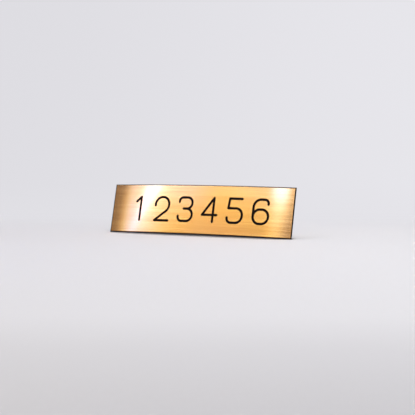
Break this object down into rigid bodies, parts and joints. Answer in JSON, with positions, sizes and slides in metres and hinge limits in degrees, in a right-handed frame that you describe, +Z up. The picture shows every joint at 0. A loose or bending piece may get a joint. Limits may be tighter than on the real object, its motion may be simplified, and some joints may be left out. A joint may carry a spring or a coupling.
{
  "type": "adhesive name plate",
  "caption": "Thin bowed sign plate with a brushed gold face over a black core, bevelled edges, plain engraved digits, and double-coated tape under a split release liner.",
  "frame": {"origin": "the middle of the back face, on the lower panel of the release liner", "axes": "+X along the plate to the viewer's right, +Z up; the front faces -Y, and the top leans back 15 degrees towards +Y"},
  "size_m": [0.203, 0.0183, 0.0504],
  "materials": {
    "black_core": "satin black core of engraving sheet, as cut",
    "gold_cap": "metallised gold cap layer, brushed along its length, satin",
    "adhesive": "clear, slightly yellow acrylic adhesive",
    "tape_film": "translucent white carrier film",
    "liner_paper": "coated brown release paper"
  },
  "bodies": {
    "plate": {"core": "black_core", "cap": "gold_cap", "cap_island_4": "gold_cap", "cap_island_6": "gold_cap", "adhesive_front": "adhesive", "tape_film": "tape_film", "adhesive_back": "adhesive"},
    "liner_lower": {"liner_lower": "liner_paper"},
    "liner_upper": {"liner_upper": "liner_paper"}
  },
  "joints": [
    {"name": "liner_lower_peel", "type": "slide", "parent": "plate", "child": "liner_lower", "axis": [0, 1, 0], "range_m": [0, 0.03]},
    {"name": "liner_upper_peel", "type": "slide", "parent": "plate", "child": "liner_upper", "axis": [0, 1, 0], "range_m": [0, 0.03]}
  ]
}
